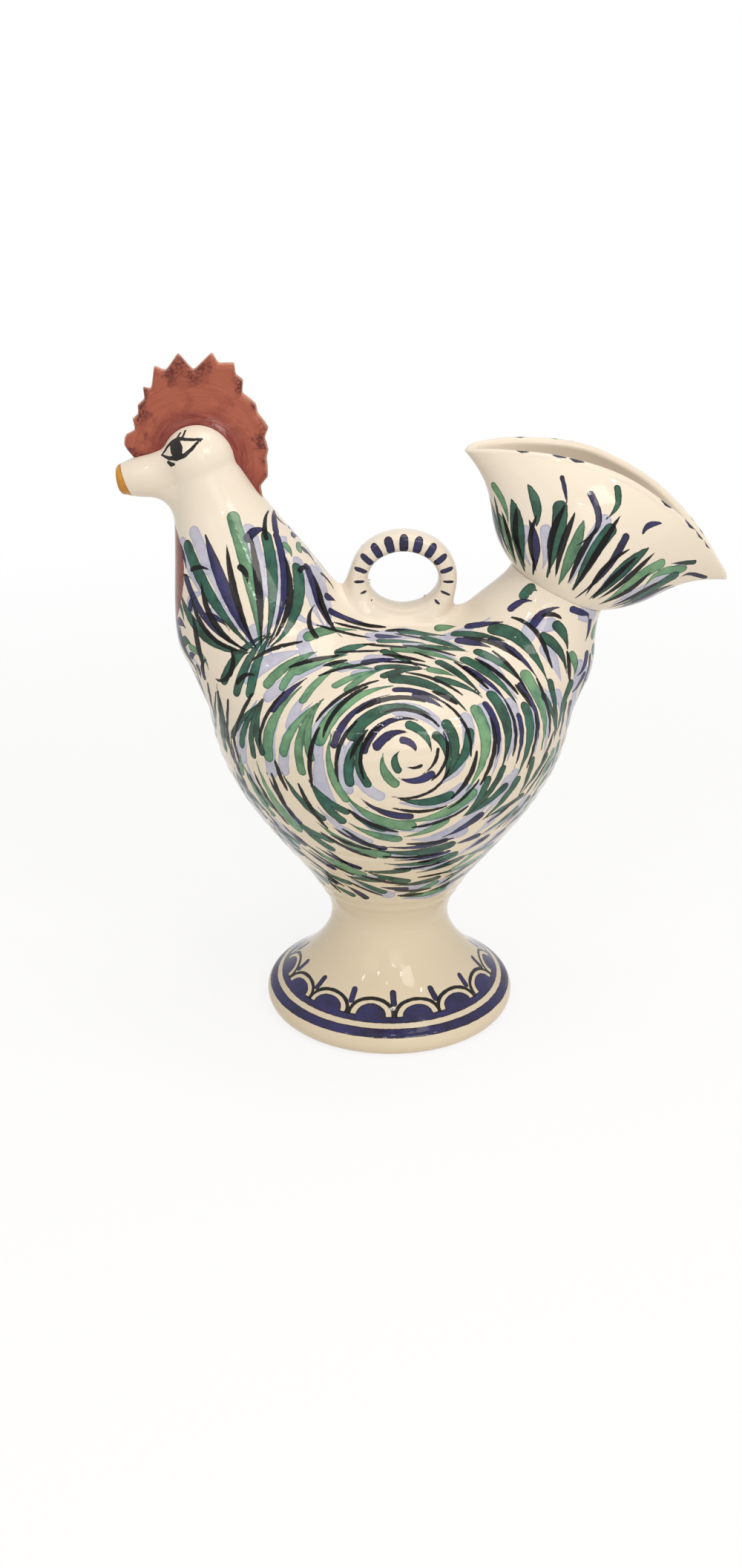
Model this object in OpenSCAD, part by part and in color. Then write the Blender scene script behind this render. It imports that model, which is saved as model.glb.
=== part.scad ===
// Rooster water jug of glazed earthenware: a vessel on a foot, filled through the tail and poured from the beak.
// Each piece is thrown or shaped on its own and luted to its neighbours, so pieces meet face to face.
// Millimetres, +Z up, head towards -X, tail towards +X. The origin is the centre of the ring the foot rests on.

/* [Foot] */
// Largest radius of the foot
foot_r = 61.4; // [57:0.2:66]
// Rounding radius of the foot's lip
foot_lip_r = 6.6; // [5.4:0.1:7.6]
// Width of the ring that rests on the table
foot_rest_w = 5; // [3:0.5:7]
// How far the flare runs on straight from the lip
foot_flare = 14.3; // [11:0.1:17]
// Radius of the waist, where the foot meets the body
waist_r = 28.7; // [26:0.1:31]
// Height of the waist above the table
waist_z = 50; // [47:0.5:55]
// Length over which the foot runs up straight into the waist
waist_sweep = 15.4; // [11:0.1:18]
// Thickness of the foot's wall at the waist
foot_wall = 6; // [5:0.1:7]

/* [Body] */
// Largest radius of the body
body_r = 84.5; // [82.1:0.1:86.9]
// Height of the body's widest level
body_widest_z = 160; // [156:0.5:164]
// Height of the top of the body's dome
body_top_z = 198; // [195:0.1:201]
// Length over which the body runs up straight out of the waist
belly_start = 25; // [20:0.5:30]
// Length over which the body runs up straight to its widest level
belly_end = 48; // [42:0.5:54]
// Length over which the shoulder runs up straight from the widest level
shoulder_rise = 27; // [23:0.5:30]
// Radius within which the dome is nearly level
dome_level_r = 38; // [33:0.5:43]
// Thickness of the body's wall
body_wall = 6; // [5:0.1:7]
// Thickness of the body's floor
body_floor = 7; // [5:0.1:9]

/* [Neck] */
// Angle by which the neck leans forward
neck_lean = 18.5; // [17:0.5:20]
// Distance from the body's side to the neck's axis, at the level of the dome's top
neck_inset = 23.5; // [22:0.1:25]
// Length of the neck's axis, from the level of the dome's top to the middle of the head
neck_l = 76.9; // [75:0.1:79]
// Radius of the neck where it enters the head
neck_top_r = 15.9; // [14.4:0.1:16]
// Distance from the middle of the head to the neck's upper end
neck_top_drop = 5; // [4:0.1:6]
// Radius of the neck's swelling, over the body
neck_swell_r = 38.4; // [37:0.2:39.4]
// Distance from the middle of the head to the swelling
neck_swell_drop = 76; // [74:0.2:78]
// Length over which the neck turns in below its swelling
neck_tuck = 23.6; // [22:0.2:25]
// Distance from the middle of the head to the joint between the neck and the breast
neck_joint_drop = 50; // [40:0.5:60]
// Thickness of the neck's wall
neck_wall = 5.5; // [4.5:0.1:6]
// Radius of the hole in the body under the neck
neck_hole_r = 26; // [22:0.2:27]

/* [Head] */
// Radius of the head
head_r = 16.8; // [16.2:0.1:18]
// Thickness of the head's wall
head_wall = 5; // [4:0.1:5.6]
// Radius of the way from the neck into the head
throat_r = 9; // [7:0.1:9.6]

/* [Beak] */
// Angle by which the beak points down
beak_dip = 8.3; // [6:0.1:10]
// Distance of the beak's axis below the middle of the head
beak_drop = 3.5; // [3:0.1:4]
// Length of the beak from the middle of the head to its tip
beak_l = 37; // [35:0.2:40]
// Radius of the beak at its root
beak_root_r = 10.4; // [9.8:0.1:10.8]
// Radius of the beak's tip
beak_tip_r = 7; // [6.4:0.1:7.6]
// Rounding radius of the beak's tip
beak_round = 3; // [2.2:0.1:3.4]
// Radius of the pouring hole
spout_r = 3.5; // [2.6:0.1:3.9]

/* [Comb] */
// Distance from the middle of the head to the tip of the tallest tooth
comb_r = 47.2; // [44:0.2:50]
// Thickness of the comb
comb_t = 8; // [6:0.2:10]

/* [Tail] */
// Angle by which the tail leans back
tail_lean = 26; // [24:0.5:28]
// Distance from the body's side to the tail's axis, at the level of the dome's top
tail_inset = 16.5; // [15:0.1:18]
// Length of the tail's axis, from the level of the dome's top to the narrowest ring of the tail
tail_stem_l = 17.8; // [16.4:0.2:19.2]
// Radius of the tail's narrowest ring
tail_ring_r = 23.2; // [22:0.1:24.4]
// Radius of the swelling at the tail's root
tail_root_r = 33.4; // [32:0.1:35]
// Length from the narrowest ring to the swelling
tail_root_drop = 34; // [32:0.5:36]
// Length over which the tail turns in below its swelling
tail_tuck = 20; // [18:0.5:22]
// Thickness of the tail's wall at its narrowest ring
tail_wall = 5.5; // [4.5:0.1:6]
// Radius of the hole in the body under the tail
tail_hole_r = 17.5; // [14:0.2:18]

/* [Filling mouth] */
// Half of the mouth's length, from corner to corner
mouth_half_l = 67; // [62:0.5:71]
// Half of the mouth's width, from front to back
mouth_half_w = 18.5; // [16:0.5:21]
// Height of the mouth's corners above the tail's narrowest ring
mouth_corner_h = 36.3; // [34:0.1:39]
// Height of the rim's arch above the corners
mouth_arch = 20; // [17:0.5:22]
// Height of the back rim above the front one
mouth_back_lift = 3; // [2:0.2:5]
// Thickness of the funnel's wall at the rim
mouth_wall = 5; // [4:0.1:6]
// Half length that the funnel swells towards, along the mouth
bulb_half_l = 47; // [44:0.5:50]
// Half depth that the funnel swells towards, across the mouth
bulb_half_w = 32; // [30:0.5:34]

/* [Ring handle] */
// Half of the width of the handle's hole
grip_half_w = 15.9; // [14:0.1:18]
// Half of the height of the handle's hole
grip_half_h = 12.6; // [11.6:0.1:14]
// Thickness of the handle's strap
strap_t = 8.6; // [7.6:0.1:9.6]
// Width of the handle's strap, from front to back
strap_w = 16; // [13:0.2:19]
// Distance of the handle towards the tail from the body's axis
handle_x = 5.4; // [0:0.2:10]
// Depth to which the handle is pressed into the dome
handle_sink = 1.2; // [0.9:0.1:2.4]

/* [Hidden] */
$fn = 96;
// Overrun of every cut past the face it opens
cut = 1;
glaze = "#EADFCB";
comb_red = "#9C5340";
// Counts of straight steps in a curve, of sides round a skin and of rings along one
curve_steps = 20;
round_steps = 8;
skin_sides = 48;
funnel_rings = 14;
rim_rings = 4;
strap_rings = 60;
strap_sides = 16;
// Power that squares off the strap's section
strap_squareness = 0.6;
// Where a curve's two handles stand: shares of the way in radius, then in height
neck_swell_shares = [[0.1, 0.27], [1, 0.81]];
tail_swell_shares = [[0, 0.32], [1, 0.6]];
tuck_shares = [[0, 0.45], [0.375, 0.77]];
beak_shares = [[0, 0.6], [0.3, 0.8]];
// Share of its own length by which a tuck comes in
tuck_in_share = 0.4;
// The funnel's two handles in height, and the share of the bulb's half length that the mouth flares from
funnel_rise_shares = [0.3, 0.67];
funnel_flare_share = 0.85;
// Share of the wall by which the inside of the bulb stands higher
funnel_cup_share = 0.35;
// Powers that pinch the mouth's two corners, the forward one first
mouth_pinch = [0.8, 1.8];
// Drift of the mouth's middle towards the tail, as a share of its wall
mouth_drift_share = 0.2;
// Angle at which the lip's rounding ends
lip_end_angle = 57;

// The middle of the head and of the tail's narrowest ring follow the body they stand on.
neck_foot_x = neck_inset - body_r;
head_x = neck_foot_x - neck_l * sin(neck_lean);
head_z = body_top_z + neck_l * cos(neck_lean);
tail_x = body_r - tail_inset + tail_stem_l * sin(tail_lean);
tail_z = body_top_z + tail_stem_l * cos(tail_lean);
handle_z = body_top_z - handle_sink + strap_t + grip_half_h;

// Outline of the comb round the middle of the head: angle in degrees up from the tail's side, and the
// distance as a share of the tallest tooth's. It starts and ends inside the beak and the neck.
comb_outline_shares = [
    [191, 0.43], [172, 0.68], [166.8, 0.716], [160.2, 0.714], [154.6, 0.657], [147.8, 0.718], [142.5, 0.70],
    [137.5, 0.75], [131, 0.745], [126.1, 0.841], [122.5, 0.784], [113.5, 0.947], [108.4, 0.873],
    [98.8, 0.994], [91.2, 0.835], [80.9, 1], [76.3, 0.919], [68.1, 0.964], [64.8, 0.871], [59.5, 0.86],
    [55.5, 0.752], [43.5, 0.754], [37.4, 0.712], [24.7, 0.725], [18.3, 0.655], [8.3, 0.659], [2, 0.635],
    [-13.6, 0.659], [-22.5, 0.621], [-32.2, 0.701], [-71.6, 0.536]
];

// A smooth curve from a to d that leaves a towards b and reaches d from c.
function curve(a, b, c, d) = [
    for (i = [0:curve_steps])
        let (t = i / curve_steps, u = 1 - t)
        u * u * u * a + 3 * u * u * t * b + 3 * u * t * t * c + t * t * t * d
];

// The same, with the handles at shares of the way.
function drawn(a, d, shares) =
    let (way = d - a)
    curve(
        a,
        a + [way[0] * shares[0][0], way[1] * shares[0][1]],
        a + [way[0] * shares[1][0], way[1] * shares[1][1]],
        d
    );

// Value at share t of a smooth run from a to d that is drawn towards b and then c.
function run(a, b, c, d, t) =
    let (u = 1 - t)
    u * u * u * a + 3 * u * u * t * b + 3 * u * t * t * c + t * t * t * d;

// An arc round a centre, from one angle to another.
function arc(centre, r, from, to) = [
    for (i = [0:round_steps])
        let (a = from + (to - from) * i / round_steps)
        centre + r * [cos(a), sin(a)]
];

// A sine raised to a power with its sign kept, for rounded oblong sections.
function blunt(s, power) = sign(s) * pow(abs(s), power);

// Solid of revolution about Z, from an outline of radius and height that runs outside the axis.
module thrown(outline) {
    first = outline[0];
    last = outline[len(outline) - 1];
    rotate_extrude()
        polygon(concat([[0, first[1]]], outline, [[0, last[1]]]));
}

// Skin through closed rings of points, the last ring joined to the first.
module skin(rings) {
    count = len(rings);
    sides = len(rings[0]);
    polyhedron(
        points = [for (ring = rings) each ring],
        faces = [
            for (j = [0:count - 1], i = [0:sides - 1])
                let (k = (j + 1) % count, n = (i + 1) % sides)
                each [
                    [j * sides + i, k * sides + n, j * sides + n],
                    [j * sides + i, k * sides + i, k * sides + n]
                ]
        ]
    );
}

// Places a piece with its origin in the middle of the head and the neck's axis running down its own -Z.
module on_neck() {
    translate([head_x, 0, head_z])
        rotate([0, -neck_lean, 0])
            children();
}

// Places a piece with its own +Z running out along the beak.
module on_beak() {
    translate([head_x, 0, head_z - beak_drop])
        rotate([0, -90 - beak_dip, 0])
            children();
}

// Places a piece with its origin in the tail's narrowest ring and its own +Z running out along the tail.
module on_tail() {
    translate([tail_x, 0, tail_z])
        rotate([0, tail_lean, 0])
            children();
}

// The foot: lip, flare and waist outside, and the hollow underneath.
lip_centre = [foot_r - foot_lip_r, foot_lip_r];
lip_end = lip_centre + foot_lip_r * [cos(lip_end_angle), sin(lip_end_angle)];
hollow_r = foot_r - foot_lip_r - foot_rest_w;
foot_outline = concat(
    arc(lip_centre, foot_lip_r, -90, lip_end_angle),
    curve(
        lip_end,
        lip_end + foot_flare * [-sin(lip_end_angle), cos(lip_end_angle)],
        [waist_r, waist_z - waist_sweep],
        [waist_r, waist_z]
    )
);
hollow_outline = curve(
    [hollow_r, 0],
    [hollow_r - foot_wall / 2, waist_z - waist_sweep - foot_flare - foot_wall],
    [waist_r - foot_wall, waist_z - waist_sweep - foot_wall - foot_lip_r / 2],
    [waist_r - foot_wall, waist_z]
);

module pedestal_foot() {
    color(glaze)
        difference() {
            thrown(foot_outline);
            thrown(concat([[hollow_r, -cut]], hollow_outline, [[waist_r - foot_wall, waist_z + cut]]));
        }
}

// The body's bowl, up to the widest level: outside, and the same inside by one wall.
bowl_outline = curve(
    [waist_r, waist_z],
    [waist_r, waist_z + belly_start],
    [body_r, body_widest_z - belly_end],
    [body_r, body_widest_z]
);
bowl_hollow_outline = curve(
    [waist_r - body_wall, waist_z + body_floor],
    [waist_r - body_wall, waist_z + body_floor + belly_start],
    [body_r - body_wall, body_widest_z - belly_end],
    [body_r - body_wall, body_widest_z]
);

module body_bowl() {
    color(glaze)
        difference() {
            thrown(bowl_outline);
            thrown(concat(bowl_hollow_outline, [[body_r - body_wall, body_widest_z + cut]]));
        }
}

// The body's dome, joined to the bowl at the widest level, with the holes under the neck and the tail.
dome_outline = curve(
    [body_r, body_widest_z],
    [body_r, body_widest_z + shoulder_rise],
    [dome_level_r, body_top_z],
    [0, body_top_z]
);
dome_hollow_outline = curve(
    [body_r - body_wall, body_widest_z],
    [body_r - body_wall, body_widest_z + shoulder_rise - body_wall],
    [dome_level_r, body_top_z - body_wall],
    [0, body_top_z - body_wall]
);

module body_mass() {
    thrown(concat(bowl_outline, dome_outline));
}

module body_dome() {
    color(glaze)
        difference() {
            thrown(dome_outline);
            thrown(concat([[body_r - body_wall, body_widest_z - cut]], dome_hollow_outline));
            on_neck()
                translate([0, 0, -neck_swell_drop - neck_tuck])
                    cylinder(r = neck_hole_r, h = neck_swell_drop);
            on_tail()
                translate([0, 0, -tail_root_drop - tail_tuck])
                    cylinder(r = tail_hole_r, h = tail_root_drop + tail_tuck);
        }
}

// The neck: a cone that swells over the body's shoulder and tucks in under the swelling.
neck_end_r = neck_swell_r - neck_tuck * tuck_in_share;
neck_end = [neck_end_r, -neck_swell_drop - neck_tuck];
neck_outline = concat(
    drawn([neck_top_r, -neck_top_drop], [neck_swell_r, -neck_swell_drop], neck_swell_shares),
    drawn([neck_swell_r, -neck_swell_drop], neck_end, tuck_shares)
);
neck_bore_outline = concat(
    [[neck_top_r - neck_wall, 0]],
    [for (p = neck_outline) p - [neck_wall, 0]],
    [[neck_end_r - neck_wall, -neck_swell_drop - neck_tuck - cut]]
);

module neck_mass() {
    on_neck()
        thrown(neck_outline);
}

// The neck above its joint with the breast.
module neck() {
    color(glaze)
        difference() {
            neck_mass();
            on_neck()
                thrown(neck_bore_outline);
            on_neck()
                translate([0, 0, -neck_swell_drop - neck_tuck - cut])
                    cylinder(r = neck_swell_r + cut, h = neck_swell_drop + neck_tuck + cut - neck_joint_drop);
            head_mass();
        }
}

// The breast: the neck's swelling below the joint, cut to the body.
module breast() {
    color(glaze)
        difference() {
            neck_mass();
            on_neck()
                thrown(neck_bore_outline);
            on_neck()
                translate([0, 0, -neck_joint_drop])
                    cylinder(r = neck_swell_r + cut, h = neck_joint_drop);
            body_mass();
        }
}

// The head: a hollow ball with a way in from the neck and a way out to the beak.
module head_mass() {
    translate([head_x, 0, head_z])
        sphere(r = head_r);
}

module head() {
    color(glaze)
        difference() {
            head_mass();
            translate([head_x, 0, head_z])
                sphere(r = head_r - head_wall);
            on_neck()
                translate([0, 0, -head_r - cut])
                    cylinder(r = throat_r, h = head_r + cut);
            on_beak()
                cylinder(r = spout_r, h = head_r + cut);
        }
}

// The beak: a tapered tube with a rounded tip and the pouring hole.
beak_round_centre = [beak_tip_r - beak_round, beak_l - beak_round];
beak_outline = concat(
    drawn([beak_root_r, beak_drop], [beak_tip_r, beak_l - beak_round], beak_shares),
    arc(beak_round_centre, beak_round, 0, 90)
);

module beak_mass() {
    on_beak()
        thrown(beak_outline);
}

module beak_spout() {
    color(glaze)
        difference() {
            beak_mass();
            on_beak()
                cylinder(r = spout_r, h = beak_l + cut);
            head_mass();
            neck_mass();
        }
}

// The comb: a slab with teeth, seated on the beak, the crown and the nape.
module comb() {
    color(comb_red)
        difference() {
            translate([head_x, 0, head_z])
                rotate([90, 0, 0])
                    linear_extrude(comb_t, center = true)
                        polygon([for (p = comb_outline_shares) comb_r * p[1] * [cos(p[0]), sin(p[0])]]);
            head_mass();
            neck_mass();
            beak_mass();
        }
}

// The tail's stem: a collar that swells down over the body's shoulder and tucks in under the swelling.
stem_end_r = tail_root_r - tail_tuck * tuck_in_share;
stem_end = [stem_end_r, -tail_root_drop - tail_tuck];
stem_outline = concat(
    drawn([tail_ring_r, 0], [tail_root_r, -tail_root_drop], tail_swell_shares),
    drawn([tail_root_r, -tail_root_drop], stem_end, tuck_shares)
);
stem_bore_outline = concat(
    [[tail_ring_r - tail_wall, cut]],
    [for (p = stem_outline) p - [tail_wall, 0]],
    [[stem_end_r - tail_wall, -tail_root_drop - tail_tuck - cut]]
);

module stem_mass() {
    on_tail()
        thrown(stem_outline);
}

module tail_stem() {
    color(glaze)
        difference() {
            stem_mass();
            on_tail()
                thrown(stem_bore_outline);
            body_mass();
        }
}

// The tail's funnel: rings that go from the round collar to the arched mouth with its pinched corners.
// How far share t of the way lies up the funnel, as a share of its height.
function funnel_rise(t) = run(0, funnel_rise_shares[0], funnel_rise_shares[1], 1, t);

// One ring of the funnel at share t of the way up, drawn in by an inset and raised by a lift.
function funnel_ring(t, inset, lift = 0) = [
    for (i = [0:skin_sides - 1])
        let (
            a = 360 * i / skin_sides,
            rise = funnel_rise(t),
            half_l = run(tail_ring_r, bulb_half_l, bulb_half_l * funnel_flare_share, mouth_half_l, t) - inset,
            half_w = run(tail_ring_r, bulb_half_w, bulb_half_w, mouth_half_w, t) - inset,
            pinch = mouth_pinch[0] + (mouth_pinch[1] - mouth_pinch[0]) * (1 + cos(a)) / 2,
            power = 1 + (pinch - 1) * rise,
            arch = mouth_arch * sin(a) * sin(a) + mouth_back_lift * max(0, sin(a))
        )
        [
            half_l * cos(a) + mouth_wall * mouth_drift_share * rise,
            half_w * blunt(sin(a), power),
            (mouth_corner_h + arch) * rise + lift
        ]
];

module tail_funnel() {
    rim_r = mouth_wall / 2;
    color(glaze)
        on_tail()
            skin(concat(
                [for (j = [0:funnel_rings]) funnel_ring(j / funnel_rings, 0)],
                [
                    for (j = [1:rim_rings - 1])
                        let (a = 180 * j / rim_rings)
                        funnel_ring(1, rim_r * (1 - cos(a)), rim_r * sin(a))
                ],
                [
                    for (j = [funnel_rings:-1:0])
                        let (t = j / funnel_rings)
                        funnel_ring(
                            t,
                            tail_wall + (mouth_wall - tail_wall) * t,
                            tail_wall * funnel_cup_share * sin(180 * t)
                        )
                ]
            ));
}

// The ring handle: a rounded strap round an oval hole, cut to the dome and to the neck and tail beside it.
module ring_handle() {
    mid_w = grip_half_w + strap_t / 2;
    mid_h = grip_half_h + strap_t / 2;
    color(glaze)
        difference() {
            translate([handle_x, 0, handle_z])
                skin([
                    for (j = [0:strap_rings - 1])
                        let (
                            a = 360 * j / strap_rings,
                            out = [mid_h * cos(a), mid_w * sin(a)] / norm([mid_h * cos(a), mid_w * sin(a)])
                        )
                        [
                            for (i = [0:strap_sides - 1])
                                let (
                                    b = 360 * i / strap_sides,
                                    r = strap_t / 2 * blunt(cos(b), strap_squareness),
                                    y = strap_w / 2 * blunt(sin(b), strap_squareness)
                                )
                                [mid_w * cos(a) + r * out[0], y, mid_h * sin(a) + r * out[1]]
                        ]
                ]);
            body_mass();
            neck_mass();
            stem_mass();
        }
}

pedestal_foot();
body_bowl();
body_dome();
breast();
neck();
head();
beak_spout();
comb();
tail_stem();
tail_funnel();
ring_handle();
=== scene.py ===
import math

import bpy
import numpy as np
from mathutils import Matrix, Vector


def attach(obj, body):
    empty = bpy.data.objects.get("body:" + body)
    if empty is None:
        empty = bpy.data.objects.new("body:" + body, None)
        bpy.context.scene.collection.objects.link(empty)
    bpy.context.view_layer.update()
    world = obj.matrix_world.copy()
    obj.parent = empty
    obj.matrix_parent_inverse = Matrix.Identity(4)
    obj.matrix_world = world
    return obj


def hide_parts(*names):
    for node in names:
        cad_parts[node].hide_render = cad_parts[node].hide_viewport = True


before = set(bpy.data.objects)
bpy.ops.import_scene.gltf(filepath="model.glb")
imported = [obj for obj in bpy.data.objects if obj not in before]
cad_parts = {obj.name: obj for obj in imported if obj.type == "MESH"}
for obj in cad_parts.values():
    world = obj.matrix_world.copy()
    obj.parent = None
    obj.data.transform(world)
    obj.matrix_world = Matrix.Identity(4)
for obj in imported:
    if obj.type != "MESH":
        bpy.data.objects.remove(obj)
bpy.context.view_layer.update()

# The camera stands off the rooster's left side, a good two heights away, and looks down on it by 22 degrees.
# Its focal length of 2100 pixels on a picture 1000 pixels wide comes to 75.6 mm on a 36 mm sensor.
def placed(name, data):
    """A new object in the scene: a camera, a mesh or a lamp."""
    thing = bpy.data.objects.new(name, data)
    bpy.context.scene.collection.objects.link(thing)
    return thing


lens = bpy.data.cameras.new("camera")
lens.sensor_fit, lens.sensor_width, lens.lens = "HORIZONTAL", 36, 75.6
camera = placed("camera", lens)
camera.location = (-0.0093, -0.6935, 0.4003)
camera.rotation_euler = (math.radians(90 - 22.32), 0, 0)
bpy.context.scene.camera = camera


# Pedestal foot: a trumpet of earthenware thrown on the wheel, dipped in white tin glaze and wiped bare under
# its lip. Two cobalt lines and a row of scallops are painted round it on a turntable. All sizes are in mm.
def cubic(t, a, b, c, d):
    """Where a cubic curve stands at t, from a at 0 to d at 1, drawn towards b and then towards c."""
    return (1 - t) ** 3 * a + 3 * (1 - t) ** 2 * t * b + 3 * (1 - t) * t ** 2 * c + t ** 3 * d


def bezier(a, b, c, d, count=40):
    """Points on a cubic curve between points of a plane."""
    return cubic(np.linspace(0, 1, count)[:, None], *np.array([a, b, c, d], float))


def arc(middle, radius, start, end, count=14):
    """Points on a circle round a middle, between two angles in degrees."""
    a = np.radians(np.linspace(start, end, count))
    return np.asarray(middle, float) + radius * np.stack([np.cos(a), np.sin(a)], 1)


def joined(*lines):
    """Lines put end to end, each without its first point where that repeats the last one."""
    whole = [np.asarray(lines[0], float)]
    for line in lines[1:]:
        line = np.asarray(line, float)
        same = np.linalg.norm(line[0] - whole[-1][-1]) < 1e-6
        whole.append(line[1:] if same else line)
    return np.concatenate(whole)


def run_of(line):
    """Length along a line at each of its points."""
    return np.concatenate([[0], np.cumsum(np.linalg.norm(np.diff(line, axis=0), axis=1))])


def evenly(line, count):
    """The same line with its points an equal length apart."""
    run = run_of(line)
    steps = np.linspace(0, run[-1], count)
    return np.stack([np.interp(steps, run, line[:, i]) for i in range(line.shape[1])], 1)


ASIDE = np.array([0, 1, 0])


def tilted(tilt):
    """The sideways and the upward direction of a piece whose axis tilts from +Z towards +X."""
    return np.array([math.cos(tilt), 0, -math.sin(tilt)]), np.array([math.sin(tilt), 0, math.cos(tilt)])


def unit(vectors):
    """The same directions, each with length one."""
    return vectors / (np.linalg.norm(vectors, axis=-1, keepdims=True) + 1e-9)


def thrown(origin, tilt, line, around):
    """Surface and outward normals of an outline (radius, height) carried round a tilted axis."""
    turn = np.linspace(0, 2 * np.pi, around, endpoint=False)
    side, up = tilted(tilt)
    spoke = np.cos(turn)[:, None] * side + np.sin(turn)[:, None] * ASIDE
    slope = unit(np.gradient(line, axis=0))
    skin = np.asarray(origin) + line[:, None, :1] * spoke + line[:, None, 1:] * up
    return skin, slope[:, None, 1:] * spoke - slope[:, None, :1] * up


def fired(name, grid, ring=False, normals=None):
    """Mesh object from a grid of points (rows, round). Each row closes on itself; the rows close too where
    ring is true, and otherwise each end row closes to its middle. Normals, where given, shade it."""
    rows, around = grid.shape[:2]
    points = grid.reshape(-1, 3)
    cell = np.arange(rows * around).reshape(rows, around)
    here = cell if ring else cell[:-1]
    over = np.roll(cell, -1, 0) if ring else cell[1:]
    quads = np.stack([here, np.roll(here, -1, 1), np.roll(over, -1, 1), over], -1).reshape(-1, 4)
    a, b, c, d = (points[quads[:, i]] for i in range(4))
    outward = (np.cross(a, b) * c).sum() + (np.cross(a, c) * d).sum() > 0
    faces = quads.tolist()
    if not ring:
        points = np.concatenate([points, [grid[0].mean(0), grid[-1].mean(0)]])
        low, high = np.full(around, rows * around), np.full(around, rows * around + 1)
        faces += np.stack([np.roll(cell[0], -1), cell[0], low], 1).tolist()
        faces += np.stack([cell[-1], np.roll(cell[-1], -1), high], 1).tolist()
    if not outward:
        faces = [face[::-1] for face in faces]
    mesh = bpy.data.meshes.new(name)
    mesh.from_pydata((points / 1000).tolist(), [], faces)
    mesh.shade_smooth()
    if normals is not None:
        normals = np.concatenate([normals.reshape(-1, 3), [normals[0].mean(0), normals[-1].mean(0)]])
        mesh.normals_split_custom_set_from_vertices(normals[:len(points)].tolist())
    piece = placed(name, mesh)
    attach(piece, "root")
    return piece, points


# The mesh stores how deep each layer of paint covers a point, and how strong it is, three to an attribute.
PAINT = {
    "paint_under": ("wash", "pale", "deep"),
    "paint_over": ("cobalt", "black", "strength"),
    "paint_earth": ("red", "ochre", "bare"),
}


def painted(points, strokes):
    """How far each point lies inside the paint of each layer, in mm plus two, and the paint's strength there.
    A stroke is (layer, path, half widths, strength); its edge is the distance to the path less that width.
    A later stroke of a layer covers the earlier ones, so that its own edge stays to be seen."""
    cover = {layer: np.zeros(len(points)) for layers in PAINT.values() for layer in layers}
    cover["strength"] += 0.5
    for layer, path, half, tone in strokes:
        middle = (path.min(0) + path.max(0)) / 2
        reach = np.linalg.norm(path - middle, axis=1).max() + half.max() + 2
        near = np.where(np.abs(points[:, 0] - middle[0]) < reach)[0]
        near = near[np.abs(points[near, 1:] - middle[1:]).max(1, initial=0) < reach]
        if not len(near):
            continue
        way = np.diff(path, axis=0)
        out = points[near][:, None] - path[:-1]
        t = np.clip((out * way).sum(2) / ((way ** 2).sum(1) + 1e-9), 0, 1)
        gap = np.linalg.norm(out - t[..., None] * way, axis=2) - (half[:-1] + t * np.diff(half))
        edge = 2 - gap.min(1)
        best = (edge > cover[layer][near]) | (edge > 2)
        cover[layer][near[best]] = edge[best]
        cover["strength"][near[edge > 2]] = tone
    return cover


def glazed(piece, points, strokes=(), **own):
    """Gives a piece the painted glaze, and its mesh the paint that the glaze reads: what the strokes cover,
    and the piece's own layers where they are given."""
    cover = {**painted(points, strokes), **own}
    for name, layers in PAINT.items():
        store = np.stack([cover[layer] for layer in layers], 1).astype(np.float32)
        piece.data.attributes.new(name, "FLOAT_VECTOR", "POINT").data.foreach_set("vector", store.ravel())
    piece.data.materials.append(tin_glaze)


def linear(hex_colour):
    """An sRGB hex value as the linear colour that a shader takes."""
    parts = np.array([int(hex_colour[i:i + 2], 16) for i in (1, 3, 5)]) / 255
    parts = np.where(parts <= 0.04045, parts / 12.92, ((parts + 0.055) / 1.055) ** 2.4)
    return (*parts.tolist(), 1)


def feed(node, inputs):
    """Gives each of a node's inputs a number, a colour in hex or another node's output."""
    for key, value in inputs.items():
        if isinstance(value, bpy.types.NodeSocket):
            node.id_data.links.new(value, node.inputs[key])
        else:
            node.inputs[key].default_value = linear(value) if isinstance(value, str) else value


def drawn(owner):
    """Turns on the nodes of a material or world; returns them and the function that adds a shader node."""
    owner.use_nodes = True
    nodes = owner.node_tree.nodes

    def add(kind, inputs=None, out=0, **settings):
        """Adds a node with its settings and links, and returns one of its outputs."""
        node = nodes.new("ShaderNode" + kind)
        for key, value in settings.items():
            setattr(node, key, value)
        feed(node, inputs or {})
        return node.outputs[out]
    return nodes, add


# The settings of every map that eases in and out, and of every mix of two colours.
SMOOTH, COLOURS = {"interpolation_type": "SMOOTHSTEP"}, {"out": 2, "data_type": "RGBA"}

# Tin glaze over earthenware: a thick opaque white gloss, warm from the clay beneath, with soft ripples and a
# few iron specks. The colours are thin oxides laid on it raw, so they melt in, pool along each stroke's edge
# and stay watery in the middle. It is nearly smooth, but its mirroring is held low, because an all white room
# stands round it here and the blacks should stay black.
tin_glaze = bpy.data.materials.new("painted_tin_glaze")
nodes, add = drawn(tin_glaze)
place = add("TexCoord", out="Object")
paints = [add("Attribute", out="Vector", attribute_name=name) for name in PAINT]
under, over, earth = (add("SeparateXYZ", {0: paint}).node.outputs for paint in paints)
# The brush's hairs leave an edge that wavers by a fifth of a millimetre about every 3 mm.
waver = add("TexNoise", {"Vector": place, "Scale": 330, "Detail": 2})
waver = add("Math", {0: waver, 1: 0.6, 2: -0.3}, operation="MULTIPLY_ADD")
# Water in the paint: clouds of about 7 mm, with finer ones of 2 mm in them.
water = add("TexNoise", {"Vector": place, "Scale": 150, "Detail": 4, "Roughness": 0.6})
cloud = add("TexNoise", {"Vector": place, "Scale": 22, "Detail": 2})
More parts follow.
